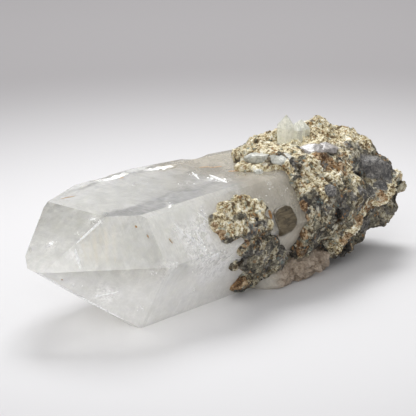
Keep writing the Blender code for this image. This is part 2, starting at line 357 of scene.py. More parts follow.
def remesh(made, voxel):
    """Gives an object an even skin with faces of about the voxel size, in metres."""
    skin = made.modifiers.new("Skin", "REMESH")
    skin.mode = "VOXEL"
    skin.voxel_size = voxel
    apply_all(made)


def settle(piece, slot, *replaced):
    """Rides a finished piece on the specimen's one body."""
    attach(piece, "root")
    if replaced:
        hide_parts(*replaced)


def store(mesh, name, values):
    """Keeps one value for each point of a mesh, for its material."""
    layer = mesh.attributes.new(name, "FLOAT", "POINT")
    layer.data.foreach_set("value", values)


# Rock

NOISE_SEED = 5
# Pitch in millimetres of the rock's grains, of its small and large facets, of its crags and of its pits
GRAIN = 1.5
FACETS, LARGE_FACETS = 2.3, 5.2
CRAGS = 7.0
PIT_PITCH = 4.2
# Share of the cells that hold a pit, and reach in millimetres of the ridge and of the gap under it
PIT_SHARE = 0.4
RIDGE_REACH, GROOVE_REACH = 3.2, 2.6
# Rock this near the crystal reaches into it by the last number, in millimetres
NEAR_CRYSTAL, TOUCHING, SUNK = 1.2, 0.9, 0.25

# Colours of the rock, from dark to light: grey, cream, rusty, bluish and gloomy
ROCK_COLOURS = (
    (
        (0.28, (0.055, 0.050, 0.040)), (0.40, (0.135, 0.122, 0.092)), (0.53, (0.215, 0.196, 0.146)),
        (0.64, (0.33, 0.30, 0.215)), (0.76, (0.58, 0.54, 0.41)),
    ),
    (
        (0.28, (0.13, 0.09, 0.05)), (0.37, (0.38, 0.29, 0.15)), (0.45, (0.64, 0.55, 0.35)),
        (0.55, (0.88, 0.82, 0.61)), (0.68, (0.95, 0.92, 0.82)),
    ),
    (
        (0.30, (0.085, 0.045, 0.022)), (0.44, (0.25, 0.14, 0.065)), (0.54, (0.42, 0.27, 0.14)),
        (0.68, (0.64, 0.50, 0.33)),
    ),
    ((0.30, (0.070, 0.068, 0.067)), (0.55, (0.180, 0.172, 0.162)), (0.72, (0.38, 0.36, 0.33))),
    ((0.30, (0.025, 0.023, 0.022)), (0.60, (0.085, 0.078, 0.068)), (0.75, (0.22, 0.20, 0.17))),
)
PALE_GRAIN = (0.74, 0.70, 0.56)
BROWN_GRAIN = (0.36, 0.19, 0.07)
TEAL_GRAIN = (0.10, 0.17, 0.17)
# Painted shade: the colour that pits and the gap under the ridge are multiplied toward
PIT_SHADE = (0.22, 0.18, 0.14)

# Zones of the rock by colour: centre, radius and strength
CREAM_ZONES = (
    ((109, -6, 51), 9, 1.0),
    ((122, 8, 51), 12, 1.0),
    ((128, 5, 55), 12, 1.0),
    ((125, -6, 54), 10, 1.0),
    ((132, -11, 52), 9, 0.9),
    ((110, -15, 48), 6, 1.0),
    ((118, -20, 49), 7, 0.9),
    ((140, 8, 57), 16, 1.0),
    ((161, -3, 55), 15, 1.0),
    ((172, -6, 53), 14, 1.0),
    ((163, 8, 57), 16, 1.0),
    ((148, -4, 56), 12, 1.0),
    ((128, -25, 46), 6, 0.6),
    ((119, -30, 43), 5, 0.8),
    ((138, -18, 49), 6, 0.6),
    ((150, -24, 45), 6, 0.5),
    ((80, -26, 45), 10, 1.0),
    ((70, -30, 41), 6, 0.9),
    ((66, -30, 37), 5, 0.6),
    ((72, -33, 36), 6, 0.7),
    ((78, -33, 35), 5, 0.6),
    ((86, -27, 43), 8, 1.0),
    ((84, -31, 38), 5, 0.7),
    ((90, -30, 39), 6, 0.7),
    ((178, -13, 48), 8, 0.8),
    ((134, -23, 47), 7, 0.7),
    ((142, -28, 44), 10, 0.6),
    ((152, -28, 41), 9, 0.55),
    ((128, -31, 41), 8, 0.65),
    ((160, -18, 48), 7, 0.5),
    ((72, -28, 42), 6, 0.9),
    ((88, -28, 42), 6, 0.9),
    ((155, 22, 50), 18, 0.8),
    ((125, 24, 40), 12, 0.7),
)
RUST_ZONES = (
    ((118, -30, 34), 4, 1.0),
    ((117, -31, 29), 4, 1.0),
    ((118, -30, 22), 4, 1.0),
    ((118, -29, 15), 5, 1.0),
    ((126, -25, 45), 3, 0.6),
    ((142, -22, 48), 8, 1.0),
    ((150, -25, 44), 6, 1.0),
    ((116, -32, 39), 4, 0.9),
    ((155, -18, 48), 6, 0.6),
    ((150, -29, 9), 5, 0.9),
    ((166, -33, 28), 4, 0.9),
    ((160, -31, 24), 4, 0.9),
    ((152, -32, 21), 4, 0.9),
    ((144, -32, 15), 4, 0.9),
    ((176, -28, 29), 4, 0.7),
    ((67, -31, 34), 4, 1.0),
    ((65, -29, 38), 3, 0.7),
    ((74, -31, 30), 4, 1.0),
    ((79, -33, 28), 3, 0.8),
    ((87, -22, 6), 6, 1.0),
    ((89, -33, 29), 3, 0.6),
    ((134, -4, 53), 4, 0.6),
)
BLUE_ZONES = (
    ((173, -24, 40), 10, 1.0),
    ((179, -25, 34), 8, 1.0),
    ((170, -30, 32), 5, 0.8),
    ((154, -34, 33), 6, 0.7),
    ((132, -34, 39), 5, 0.8),
    ((164, -26, 15), 7, 0.6),
    ((178, -25, 16), 7, 0.6),
    ((90, -33, 20), 10, 0.5),
    ((122, -33, 39), 4, 0.5),
)
# Painted shade: zones darkened in the deep pits and on the rock's low underside
SHADE_ZONES = (
    ((137, -34, 27), 5, 0.9),
    ((162, -26, 37), 5, 0.8),
    ((158, -26, 40), 3, 0.8),
    ((145, -30, 7), 8, 0.8),
    ((127, -35, 20), 7, 0.6),
    ((136, -24, 9), 6, 0.9),
    ((120, -30, 14), 5, 0.6),
    ((87, -33, 37), 2.0, 1.0),
)
SMOOTH_ZONES = (
    ((173, -24, 39), 12, 0.95),
    ((178, -25, 34), 8, 0.9),
    ((154, -34, 33), 6, 0.8),
    ((132, -34, 39), 4, 0.7),
    ((141, -34, 37), 4, 0.5),
)
# The crest of the ridge as (back, height), lightened with a painted highlight over its own colour, and the
# way from it to the gap under it, darkened with painted shade
RIDGE = (
    (142.5, 9.5), (144.5, 14.5), (152.0, 20.0), (160.0, 24.2),
    (166.5, 27.6), (176.0, 29.2), (186.0, 30.0), (197.0, 31.5),
)
GROOVE_SHIFT = Vector((2.4, 0.0, -4.0))
# Single deep pits: centre, radius and depth
DEEP_PITS = (
    ((128.4, 4.9, 54.9), 1.5, 2.0),
    ((134.1, 2.6, 54.1), 1.3, 1.8),
    ((138.2, 2.1, 55.6), 1.5, 1.8),
    ((135.8, -29.4, 42.4), 1.5, 1.8),
    ((127.4, -29.8, 41.3), 1.3, 1.6),
    ((81.2, -27.8, 18.6), 1.9, 1.6),
    ((86.8, -33.0, 37.0), 1.1, 1.6),
    ((88.0, -33.2, 35.6), 1.0, 1.4),
    ((137.3, -34.2, 27.5), 2.4, 2.2),
    ((137.0, -34.2, 24.0), 2.2, 2.0),
    ((159.5, -25.8, 39.0), 1.8, 2.0),
    ((162.6, -25.8, 37.2), 1.9, 2.0),
    ((166.5, -25.4, 35.0), 1.5, 1.6),
    ((150.0, -10.0, 51.0), 1.2, 1.4),
    ((121.0, 0.5, 52.5), 1.0, 1.2),
)


def grain_relief(spot, grain):
    """Height of the granular surface at a place, from 0 to 1, and the tone of the grain there."""
    distances, centres = noise.voronoi(spot / grain)
    edge = smooth(distances[1] - distances[0], 0.0, 0.45)
    tone = noise.cell(centres[0] * 7.31)
    return edge * (0.35 + 0.65 * tone), tone


def facet_relief(spot, pitch):
    """Height of a surface broken into tilted flat facets, in pitches."""
    centre = noise.voronoi(spot / pitch)[1][0]
    return (spot / pitch - centre).dot(noise.noise_vector(centre * 3.1)) + 0.5 * noise.noise(centre * 1.7)


def pit_depth(spot, pitch, share):
    """How far a place lies down a pit, from 0 to 1: a share of the cells hold one."""
    distances, centres = noise.voronoi(spot / pitch)
    chance = noise.cell(centres[0] * 3.7)
    if chance > share:
        return 0.0
    return smooth(1.0 - distances[0] / 0.42, 0.0, 0.8)


def line_nearness(spot, line, reach):
    """1 on a line and 0 from reach millimetres on, seen from the near side: across is left out."""
    best = reach
    spot = Vector((spot.x, spot.z))
    for start, end in zip(line, line[1:]):
        start, end = Vector(start), Vector(end)
        share = (spot - start).dot(end - start) / (end - start).length_squared
        best = min(best, (spot - start.lerp(end, limited(share))).length)
    return smooth(1.0 - best / reach, 0.0, 0.7)


def deep_pit(spot):
    """Depth in millimetres of the single deep pits at a place."""
    deep = 0.0
    for centre, radius, depth in DEEP_PITS:
        away = (spot - Vector(centre)).length / radius
        if away < 1.4:
            deep = max(deep, depth * smooth(1.4 - away, 0.0, 0.7))
    return deep


def carve_rock(made, contact):
    """Carves crags, grains and pits into a rock's even skin, and keeps its tones, depths and painted shade
    as values.
    """
    noise.seed_set(NOISE_SEED)
    bm = bmesh.new()
    bm.from_mesh(made.data)
    bm.normal_update()
    kept = {name: [] for name in ("tone", "pit", "cream", "rust", "blue", "dark")}
    moves = []
    for vert in bm.verts:
        spot = table_place(vert.co)
        warp = noise.noise_vector(spot / 3.0) * 0.8
        relief, tone = grain_relief(spot + warp, GRAIN)
        pit = pit_depth(spot + warp * 1.5, PIT_PITCH, PIT_SHARE)
        small_pit = pit_depth(spot + warp, PIT_PITCH * 0.45, PIT_SHARE * 0.8)
        deep = deep_pit(spot + warp * 0.5)
        crags = noise.ridged_multi_fractal(spot / CRAGS, 0.9, 2.1, 4, 0.9, 2.0)
        lumps = 1.5 * facet_relief(spot + warp * 0.6, LARGE_FACETS)
        lumps += 0.6 * facet_relief(spot + warp * 0.4, FACETS)
        rough = 1.0 - 0.88 * zone(spot, SMOOTH_ZONES)
        creamy = zone(spot, CREAM_ZONES)
        fine = (0.12 + 0.2 * creamy) * relief + 0.36 * (crags - 1.2)
        lift = (0.35 + 0.65 * rough) * lumps + rough * fine - 0.15
        near_side = smooth(-spot.y, 17.0, 21.0)
        sway = noise.noise_vector(spot / 8.0) * 2.4 + warp * 1.6
        broken = 0.25 + 0.75 * smooth(noise.noise(spot / 4.5 + Vector((4, 1, 7))), -0.35, 0.25)
        ridge = near_side * broken * line_nearness(spot + sway, RIDGE, RIDGE_REACH)
        groove = near_side * broken * line_nearness(spot + sway - GROOVE_SHIFT, RIDGE, GROOVE_REACH)
        groove *= 1.0 - ridge
        lift += 1.7 * ridge * (1.0 + 0.6 * relief) - 2.0 * groove
        lift -= rough * (0.9 * pit + 0.45 * small_pit) + deep
        moves.append(vert.normal * lift * MM)
        blur = noise.noise(spot / 7.0) * 0.4
        kept["tone"].append(tone)
        # The pit value is painted shade: how far a place lies in a pit or in the gap under the ridge
        kept["pit"].append(min(1.0, max(0.7 * pit, 0.5 * small_pit, groove) * rough + deep * 0.7))
        # Painted highlight: the ridge's crest is made cream over its own rusty colour
        kept["cream"].append(limited(creamy + blur + 1.5 * ridge))
        rust = zone(spot, RUST_ZONES) + 0.5 * noise.noise(spot / 3.0) - 0.05 + 0.25 * ridge
        kept["rust"].append(limited(rust))
        kept["blue"].append(limited(zone(spot, BLUE_ZONES) + 0.5 * blur) * (1.0 - ridge))
        # The dark value is painted shade: the shade zones and the gap under the ridge
        dark = zone(spot, SHADE_ZONES) + 0.5 * blur + 1.2 * groove
        kept["dark"].append(limited(dark) * (1.0 - ridge))
    for vert, move in zip(bm.verts, moves):
        vert.co += move
    press_against(bm, contact)
    bm.to_mesh(made.data)
    bm.free()
    for name, values in kept.items():
        store(made.data, name, values)


def press_against(bm, contact):
    """Lets rock that all but touches the crystal reach into it, so that it shows through the quartz."""
    for vert in bm.verts:
        found, normal, _, _ = contact.find_nearest(vert.co, NEAR_CRYSTAL * MM)
        if found is None:
            continue
        side = (vert.co - found).dot(normal)
        if side < TOUCHING * MM:
            vert.co = found - normal * SUNK * MM


def rock_finish(name):
    """Weathered granular rock: beige-grey, cream and rusty, with smooth bluish quartz, and its pits, gap
    and underside darkened with painted shade.
    """
    made = Finish(name, Specular_IOR_Level=0.35)
    coords = made.coords()
    swirl = made.noise(3.4, 9.0, 0.70, coords, 0.25)
    grit = made.noise(0.7, 4.0, 0.65, coords)
    cell = made.warped_cells(1.15, coords, 1.2, 3.0, 1.0)
    blotch = made.warped_cells(4.6, coords, 0.35, 4.0, 5.0)
    broad = made.noise(9.0, 4.0, 0.6, coords)
    cream, rust, tone, blue, dark, pit = (
        made.attribute(name) for name in ("cream", "rust", "tone", "blue", "dark", "pit")
    )

    mixed = (swirl - 0.5) * 1.15 + (grit - 0.5) * 0.85
    mixed = mixed + (cell[0] - 0.5) * 0.20 + (tone - 0.5) * 0.10 + 0.5
    grey, creamy, rusty, bluish, gloomy = (made.ramp(mixed, stops) for stops in ROCK_COLOURS)

    # Blotches of other rock in the grey, then the zones with ragged edges, then single odd grains
    patch = (broad - 0.5) * 1.3 + (cell[1] - 0.5) * 0.35
    grey = made.mix(blotch[0].step(0.62, 0.72) * 0.75, grey, bluish)
    grey = made.mix(blotch[1].step(0.70, 0.80) * 0.7, grey, gloomy)
    grey = made.mix(blotch[2].step(0.72, 0.86) * 0.45, grey, creamy)
    colour = made.mix((cream + patch * 0.9).step(0.14, 0.56), grey, creamy)
    colour = made.mix((blue + patch * 0.5).step(0.45, 0.75), colour, bluish)
    colour = made.mix((rust + patch * 0.7).step(0.42, 0.75) * 0.85, colour, rusty)
    # Painted shade: the dark value turns the colour gloomy
    colour = made.mix((dark + patch * 0.4).step(0.40, 0.75), colour, gloomy)
    plain = 1.0 - blue.step(0.3, 0.6)
    colour = made.mix(cell[2].step(0.95, 0.97) * plain * 0.6, colour, PALE_GRAIN)
    colour = made.mix(cell[1].step(0.94, 0.97) * plain * 0.7, colour, BROWN_GRAIN)
    colour = made.mix(cell[0].step(0.955, 0.975) * plain * 0.6, colour, TEAL_GRAIN)
    # Painted shade: pits and the gap under the ridge are darkened by the pit value
    shade = made.mix(pit.step(0.25, 1.0), (1.0, 1.0, 1.0), PIT_SHADE)
    made.feed("Base Color", made.mix(1.0, colour, shade, "MULTIPLY"))
    made.feed("Roughness", (0.90 - blue.step(0.5, 0.8) * 0.45).clamp())
    made.bump(swirl * 0.8 + grit * 0.7 - made.cells(0.8, coords) * 0.4, 0.5, 0.8)
    return made.material


def crumb_finish():
    """Loose-looking crumbs grown onto the rock, each in one of its own colours."""
    made = Finish("Rock crumb", Roughness=0.75)
    tint = made.attribute("tint")
    grit = made.noise(0.5, 3.0, 0.6)
    colour = made.ramp(tint, (
        (0.0, (0.075, 0.068, 0.06)), (0.18, (0.19, 0.17, 0.14)), (0.40, (0.36, 0.32, 0.25)),
        (0.55, (0.62, 0.55, 0.40)), (0.72, (0.85, 0.81, 0.70)), (0.82, (0.46, 0.27, 0.11)),
        (0.92, (0.26, 0.13, 0.05)),
    ), "CONSTANT")
    made.feed("Base Color", made.mix(grit.step(0.3, 0.7) * 0.5, colour, (0.30, 0.26, 0.20)))
    made.bump(grit, 0.2, 0.6)
    return made.material


def lump_finish(name, colour, deep, roughness):
    """A smooth lump of quartz that grew in the rock."""
    made = Finish(
        name, Roughness=roughness, IOR=QUARTZ_IOR, Subsurface_Weight=0.25,
        Subsurface_Radius=(1.0, 1.0, 1.0), Subsurface_Scale=0.002,
    )
    cloud = made.noise(3.5, 6.0, 0.68)
    cracks = made.cells(3.4, feature="DISTANCE_TO_EDGE")
    shade = made.mix(cloud.step(0.34, 0.62), deep, colour)
    gap = tuple(part * 0.45 for part in deep)
    made.feed("Base Color", made.mix(cracks.step(0.10, 0.0) * 0.5, shade, gap))
    made.bump(cloud + made.noise(0.8, 3.0, 0.6) * 0.3, 0.35, 0.7)
    return made.material


# Crystal


# Longest edge in the rough foot, in millimetres
FOOT_EDGE = 1.3
# Where the cloudy root starts to thicken, and its depth below the crystal's faces, in millimetres
ROOT_BACK = 92.0
ROOT_INSET = 2.6
# Depth of the flakes below the crystal's faces, in millimetres
VEIL_INSET = 0.6
# Milky clouds in the crystal, just under its faces: centre, radius and strength
CLOUDS = (
    ((54, -29, 34), 13, 1.0),
    ((66, -29, 22), 14, 0.60),
    ((46, -26, 39), 7, 0.35),
    ((62, -26, 39), 9, 0.60),
    ((91, -6, 48), 9, 0.40),
    ((9, 6, 37), 6, 0.35),
    ((21, -6, 46), 6, 0.35),
    ((36, -31, 28), 7, 0.35),
    ((20, -12, 17), 9, 0.40),
    ((60, -30, 24), 9, 0.35),
    ((11, -6, 34), 5, 0.40),
    ((72, -31, 15), 14, 0.50),
    ((84, -33, 18), 9, 0.40),
)


def crystal_finish():
    """Clear to milky quartz, see-through, with fine growth lines across its faces."""
    made = Finish(
        "Milky clear quartz", Base_Color=(0.99, 1.0, 0.98, 1.0), Transmission_Weight=1.0, IOR=QUARTZ_IOR,
    )
    coords = made.coords()
    along, across, height = made.split_place(coords)
    foot = along.step(2.0, 10.0) * (1.0 - height.step(9.0, 15.0)) * (0.0 - across).step(17.0, 21.0)
    lines = made.noise(0.9, 3.0, 0.6, made.coords((1.0, 0.06, 0.06)))
    waves = made.noise(9.0, 2.0, 0.5)
    haze = made.noise(14.0, 4.0, 0.6)
    made.feed("Roughness", (haze.step(0.45, 0.75) * 0.06 + 0.01).clamp())
    crags = made.noise(2.4, 6.0, 0.7) * foot
    relief = made.bump(lines * 0.9 + waves * 3.0 + crags * 12.0, 0.08, 1.0)

    # Milk: thin all over, thicker low down, toward the tip, in streaks and in the clouds
    milk = made.extra_shader(
        Roughness=0.16, Subsurface_Weight=0.5, Subsurface_Radius=(1.0, 1.0, 0.9), Subsurface_Scale=0.012,
        Specular_IOR_Level=0.5,
    )
    made.feed("Normal", relief, milk)
    wisps = made.noise(9.0, 8.0, 0.72, None, 0.6)
    grit = made.noise(1.6, 4.0, 0.7)
    back = along.step(-85.0, -40.0) * (1.0 - along.step(-18.0, -6.0))
    low = 1.0 - height.step(14.0, 34.0)
    tip = 1.0 - along.step(-96.0, -80.0)
    milky = wisps.step(0.36, 0.68) * 0.14 + grit.step(0.45, 0.7) * 0.05 + back * 0.06 + 0.16
    streaks = made.noise(2.6, 6.0, 0.7, made.coords((1.0, 0.22, 0.22), (0.0, 0.0, 0.25)), 0.4)
    milky = (milky + low * 0.44 + tip * 0.20 + streaks.step(0.46, 0.74) * 0.12).clamp()
    veil = made.noise(2.4, 7.0, 0.75, None, 0.8).step(0.40, 0.62)
    for centre, radius, strength in CLOUDS:
        milky = milky + made.nearness(coords, centre, radius) * veil * strength
    smoky = made.nearness(coords, (97, -20, 46), 13.0)
    milky = (milky + made.nearness(coords, (110, -28, 20), 11.0) * 0.3 + smoky * 0.25).clamp()
    tint = made.mix(along.step(-14.0, -2.0) * 0.8, (0.99, 0.98, 0.95), (0.76, 0.70, 0.58))
    tint = made.mix(smoky * 0.75, tint, (0.50, 0.45, 0.38))
    made.feed("Base Color", tint, milk)
    made.mix_shader(milky, milk)

    # The rough foot, hardly see-through: its own tan, darkened to brown as painted shade under the rock
    rough = made.extra_shader(Roughness=0.4, Specular_IOR_Level=0.6)
    made.feed("Normal", relief, rough)
    grain = made.mix(grit.step(0.35, 0.65), (0.28, 0.205, 0.145), (0.50, 0.405, 0.31))
    made.feed("Base Color", grain, rough)
    made.mix_shader(foot * 0.88, rough)
    made.let_lamps_through((0.50, 0.495, 0.48))
    made.absorb((0.93, 0.925, 0.85), 4.0)
    return made.material


def side_finish():
    """Clear to milky quartz of the small side crystals."""
    made = Finish(
        "Side crystal quartz", Base_Color=(0.97, 0.98, 0.93, 1.0), Transmission_Weight=1.0,
        IOR=QUARTZ_IOR, Roughness=0.08,
    )
    cloud = made.noise(3.0, 6.0, 0.7)
    made.bump(made.noise(0.6, 3.0, 0.6, made.coords((0.3, 0.3, 1.0))) + cloud, 0.25, 0.8)
    milk = made.extra_shader(Base_Color=(0.90, 0.90, 0.83, 1.0), Roughness=0.25)
    made.mix_shader((cloud.step(0.35, 0.65) * 0.4 + 0.3).clamp(), milk)
    made.let_lamps_through((0.8, 0.8, 0.76))
    return made.material


def veil_finish():
    """White flakes inside the quartz; on the glint shards this white is a painted glint."""
    made = Finish("Inner flake", Roughness=0.22, Specular_IOR_Level=1.0)
    tint = made.attribute("tint")
    made.feed("Base Color", made.ramp(tint, ((0.0, (0.90, 0.89, 0.86)), (1.0, (1.0, 1.0, 1.0)))))
    return made.material


def band_finish(name, colour, alpha):
    """A streaked, partly see-through film."""
    made = Finish(name.replace("_", " ").capitalize(), Roughness=0.35)
    streaks = made.noise(0.9, 4.0, 0.7)
    pale = tuple(min(1.0, part * 1.25) for part in colour)
    made.feed("Base Color", made.mix(streaks.step(0.35, 0.65), colour, pale))
    made.feed("Alpha", (streaks.step(0.25, 0.6) * alpha * 0.6 + alpha * 0.4).clamp())
    return made.material


# Settings of the panel


class QuartzSettings(bpy.types.PropertyGroup):
    """Sizes, numbers and colours that a user may change"""

    edge_width: FloatProperty(
        name="Edge width", description="Width of the worn edges between the crystal's faces",
        default=0.5 * MM, min=0.0, unit="LENGTH",
    )
    rock_voxel: FloatProperty(
        name="Rock detail", description="Size of the faces that the rock is carved with",
        default=0.62 * MM, min=0.3 * MM, unit="LENGTH",
    )
    crust_voxel: FloatProperty(
        name="Crust detail", description="Size of the faces that the near crust is carved with",
        default=0.38 * MM, min=0.2 * MM, unit="LENGTH",
    )
    rock_crumbs: IntProperty(
        name="Rock crumbs", description="Number of crumbs on the host rock", default=1900, min=0,
    )
    crust_crumbs: IntProperty(
        name="Crust crumbs", description="Number of crumbs on the near crust", default=380, min=0,
    )
    haze_flakes: IntProperty(
        name="Haze flakes", description="Number of small flakes all through the quartz",
        default=15000, min=0,
    )
    table_colour: FloatVectorProperty(
        name="Table colour", description="Colour of the pale table", subtype="COLOR",
        default=(0.67, 0.665, 0.675), size=3, min=0.0, max=1.0,
    )


def settings():
    """The panel's settings."""
    return bpy.context.scene.quartz_point


class QUARTZ_OT_crystal(bpy.types.Operator):
    """Make the main crystal, with worn edges"""

    bl_idname = "quartz.crystal"
    bl_label = "Main crystal"

    def execute(self, context):
        bm = flat_crystal()
        self.wear_edges(bm)
        self.break_foot(bm)
        piece = new_object("main_crystal", bm, crystal_finish())
        settle(piece, "milky_quartz", "quartz_point")
        return {"FINISHED"}

    def wear_edges(self, bm):
        """Bevels the long edges between the crystal's large faces."""
        long_edges = [
            edge for edge in sharp_edges(bm, 15)
            if edge.calc_length() > 6.0 * MM
            and min(face.calc_area() for face in edge.link_faces) > 60.0 * MM * MM
        ]
        round_edges(bm, long_edges, settings().edge_width, 2)

    def triangulate_foot(self, bm):
        """Cuts the faces of the foot into triangles."""
        near = [face for face in bm.faces if foot_share(table_place(face.calc_center_median())) > 0.0]
        bmesh.ops.triangulate(bm, faces=near)

    def break_foot(self, bm):
        """Gives the foot the small flat facets of broken quartz."""
        self.triangulate_foot(bm)
        for _ in range(5):
            edges = []
            for edge in bm.edges:
                middle = table_place((edge.verts[0].co + edge.verts[1].co) / 2)
                if edge.calc_length() > FOOT_EDGE * MM and foot_share(middle) > 0.0:
                    edges.append(edge)
            if not edges:
                break
            bmesh.ops.subdivide_edges(bm, edges=edges, cuts=1, use_grid_fill=True)
            self.triangulate_foot(bm)
        bm.normal_update()
        noise.seed_set(NOISE_SEED)
        moves = []
        for vert in bm.verts:
            spot = table_place(vert.co)
            share = foot_share(spot) * smooth(spot.z, 0.2, 1.5)
            lift = 3.8 * facet_relief(spot, 5.0) + 1.6 * facet_relief(spot, 2.2)
            lift += 0.2 * noise.noise(spot / 1.2)
            moves.append(vert.normal * share * lift * MM)
        for vert, move in zip(bm.verts, moves):
            vert.co += move


def foot_share(spot):
    """1 in the rough foot beside the crystal and 0 away from it."""
    return smooth(-spot.y, 19.5, 23.0) * smooth(spot.x, 101.0, 107.0) * (1.0 - smooth(spot.z, 12.0, 16.0))


def root_finish():
    """The cloudy quartz of the crystal's root, which thins out toward the point."""
    made = Finish("Cloudy root", Base_Color=(0.66, 0.60, 0.50, 1.0), Roughness=0.6)
    along = made.split_place(made.coords())[0]
    cloud = made.noise(7.0, 5.0, 0.65)
    start = ROOT_BACK - MIDDLE_BACK
    made.feed("Alpha", ((along + (cloud - 0.5) * 40.0).step(start, start + 26.0) * 0.62).clamp())
    return made.material


class QUARTZ_OT_root(bpy.types.Operator):
    """Make the cloudy quartz near the host rock: a block cut to the crystal's shape, a little smaller"""

    bl_idname = "quartz.root"
    bl_label = "Cloudy root"

    def execute(self, context):
        bm = bmesh.new()
        bmesh.ops.create_cube(bm, size=1.0)
        bmesh.ops.scale(bm, vec=Vector((56, 90, 70)) * MM, verts=bm.verts)
        bmesh.ops.translate(bm, vec=place(ROOT_BACK + 28, 0, 26), verts=bm.verts)
        for middle, normal in inner_planes(ROOT_INSET):
            geom = bm.verts[:] + bm.edges[:] + bm.faces[:]
            cut = bmesh.ops.bisect_plane(bm, geom=geom, plane_co=middle, plane_no=normal, clear_outer=True)
            rim = [part for part in cut["geom_cut"] if isinstance(part, bmesh.types.BMEdge)]
            if rim:
                bmesh.ops.contextual_create(bm, geom=rim)
        piece = new_object("cloudy_root", bm, root_finish())
        settle(piece, "milky_quartz")
        return {"FINISHED"}


# Curved healed fractures: centre, half widths, turn about the axis, tilt toward it, curl and flakes
FRACTURES = (
    ((120, -2, 26), (30, 24), 0, 78, 3, 700),
    ((104, 4, 27), (30, 22), 24, 62, 4, 600),
    ((90, -8, 25), (26, 20), -30, 50, 3, 500),
    ((76, 6, 26), (30, 26), 15, 66, 4, 500),
    ((64, -10, 22), (24, 18), 50, 40, 3, 350),
    ((52, 10, 24), (26, 20), -20, 72, 3, 300),
    ((84, -18, 32), (24, 14), 58, 12, 2, 500),
    ((70, -24, 26), (16, 10), 70, 20, 2, 400),
)


def inner_planes(inset):
    """The planes of the crystal's large faces, moved inward by inset millimetres."""
    bm = flat_crystal()
    large = [face for face in bm.faces if face.calc_area() > 120 * MM * MM]
    planes = [(face.calc_center_median() - face.normal * inset * MM, face.normal.copy()) for face in large]
    bm.free()
    return planes


def is_inside(point, planes):
    """Whether a point lies behind all the planes."""
    return all((point - middle).dot(normal) < 0.0 for middle, normal in planes)


def flake_shape(finish, thin):
    """A small closed flake, one across and thin high."""
    bm = bmesh.new()
    bmesh.ops.create_uvsphere(bm, u_segments=4, v_segments=2, radius=0.5)
    bmesh.ops.scale(bm, vec=(1.0, 0.7, thin), verts=bm.verts)
    return new_object("flake", bm, finish)


def any_turn(draw):
    """A turn at random about each axis."""
    return [draw.uniform(0, FULL_TURN) for _ in range(3)]


def scatter(name, spots, shape):
    """One mesh of copies of a shape: spots holds rows of point, turn, size in millimetres and tint."""
    bm = bmesh.new()
    for point, _, _, _ in spots:
        bm.verts.new(point)
    made = new_object(name, bm)
    mesh = made.data
    turns = mesh.attributes.new("turn", "FLOAT_VECTOR", "POINT")
    turns.data.foreach_set("vector", [part for spot in spots for part in spot[1]])
    store(mesh, "size", [spot[2] * MM for spot in spots])
    store(mesh, "tint", [spot[3] for spot in spots])

    group = bpy.data.node_groups.new(name, "GeometryNodeTree")
    group.interface.new_socket("Geometry", in_out="INPUT", socket_type="NodeSocketGeometry")
    group.interface.new_socket("Geometry", in_out="OUTPUT", socket_type="NodeSocketGeometry")
    source, target = group.nodes.new("NodeGroupInput"), group.nodes.new("NodeGroupOutput")
    copies = group.nodes.new("GeometryNodeInstanceOnPoints")
    joined = group.nodes.new("GeometryNodeRealizeInstances")
    kind = group.nodes.new("GeometryNodeObjectInfo")
    kind.inputs["Object"].default_value = shape
    for attribute, data_type, socket in (("turn", "FLOAT_VECTOR", "Rotation"), ("size", "FLOAT", "Scale")):
        read = group.nodes.new("GeometryNodeInputNamedAttribute")
        read.data_type = data_type
        read.inputs["Name"].default_value = attribute
        group.links.new(read.outputs["Attribute"], copies.inputs[socket])
    group.links.new(source.outputs[0], copies.inputs["Points"])
    group.links.new(kind.outputs["Geometry"], copies.inputs["Instance"])
    group.links.new(copies.outputs[0], joined.inputs[0])
    group.links.new(joined.outputs[0], target.inputs[0])
    made.modifiers.new("Copies", "NODES").node_group = group
    apply_all(made)
    bpy.data.objects.remove(shape)
    return made


def fracture_spots(row, planes, draw):
    """Flakes over one curved sheet, close together where its wisps are."""
    centre, half, roll, tilt, curl, count = row
    turn = Matrix.Rotation(math.radians(roll), 4, "X") @ Matrix.Rotation(math.radians(tilt), 4, "Y")
    spots = []
    for _ in range(count * 4):
        x, y = draw.uniform(-1.0, 1.0), draw.uniform(-1.0, 1.0)
        spread = Vector((x * half[0], y * half[1], sum(centre)))
        wisp = noise.fractal(spread / 9.0, 0.8, 2.0, 4)
        if draw.random() > smooth(wisp, -0.1, 0.9) * (1.0 - smooth(math.hypot(x, y), 0.7, 1.1)):
            continue
        bend = noise.noise(spread / 14.0) * curl * 2.2 + curl * x * x
        point = turn @ Vector((spread.x, spread.y, bend)) * MM + place(*centre)
        if is_inside(point, planes):
            tip = [math.radians(angle) + draw.gauss(0, 0.3) for angle in (roll, tilt)]
            tip.append(draw.uniform(0, FULL_TURN))
            spots.append((point, tip, draw.uniform(0.3, 1.0) ** 1.5 * 1.3, draw.random()))
    return spots


def haze_spots(planes, draw):
    """Small flakes all through the quartz: few at its clear point and many toward the host rock."""
    spots = []
    while len(spots) < settings().haze_flakes:
        back = draw.uniform(4.0, 146.0)
        point = place(back, draw.uniform(-36, 40), draw.uniform(0, 48))
        cloud = noise.fractal(point / MM / 16.0, 0.8, 2.0, 3)
        share = 0.10 + 0.5 * smooth(back, 25, 120) + 0.8 * max(0.0, cloud)
        if draw.random() < share and is_inside(point, planes):
            spots.append((point, any_turn(draw), 0.25 + 0.45 * draw.random() ** 2, draw.random()))
    return spots


class QUARTZ_OT_veils(bpy.types.Operator):
    """Make the flakes of the healed fractures and of the haze inside the crystal"""

    bl_idname = "quartz.veils"
    bl_label = "Inner veils"

    def execute(self, context):
        planes = inner_planes(VEIL_INSET)
        draw = random.Random(FLAKE_SEED)
        spots = [spot for row in FRACTURES for spot in fracture_spots(row, planes, draw)]
        piece = scatter("inner_veils", spots, flake_shape(veil_finish(), 0.08))
        settle(piece, "milky_quartz")
        haze = scatter("inner_haze", haze_spots(planes, draw), flake_shape(veil_finish(), 0.25))
        settle(haze, "milky_quartz")
        return {"FINISHED"}
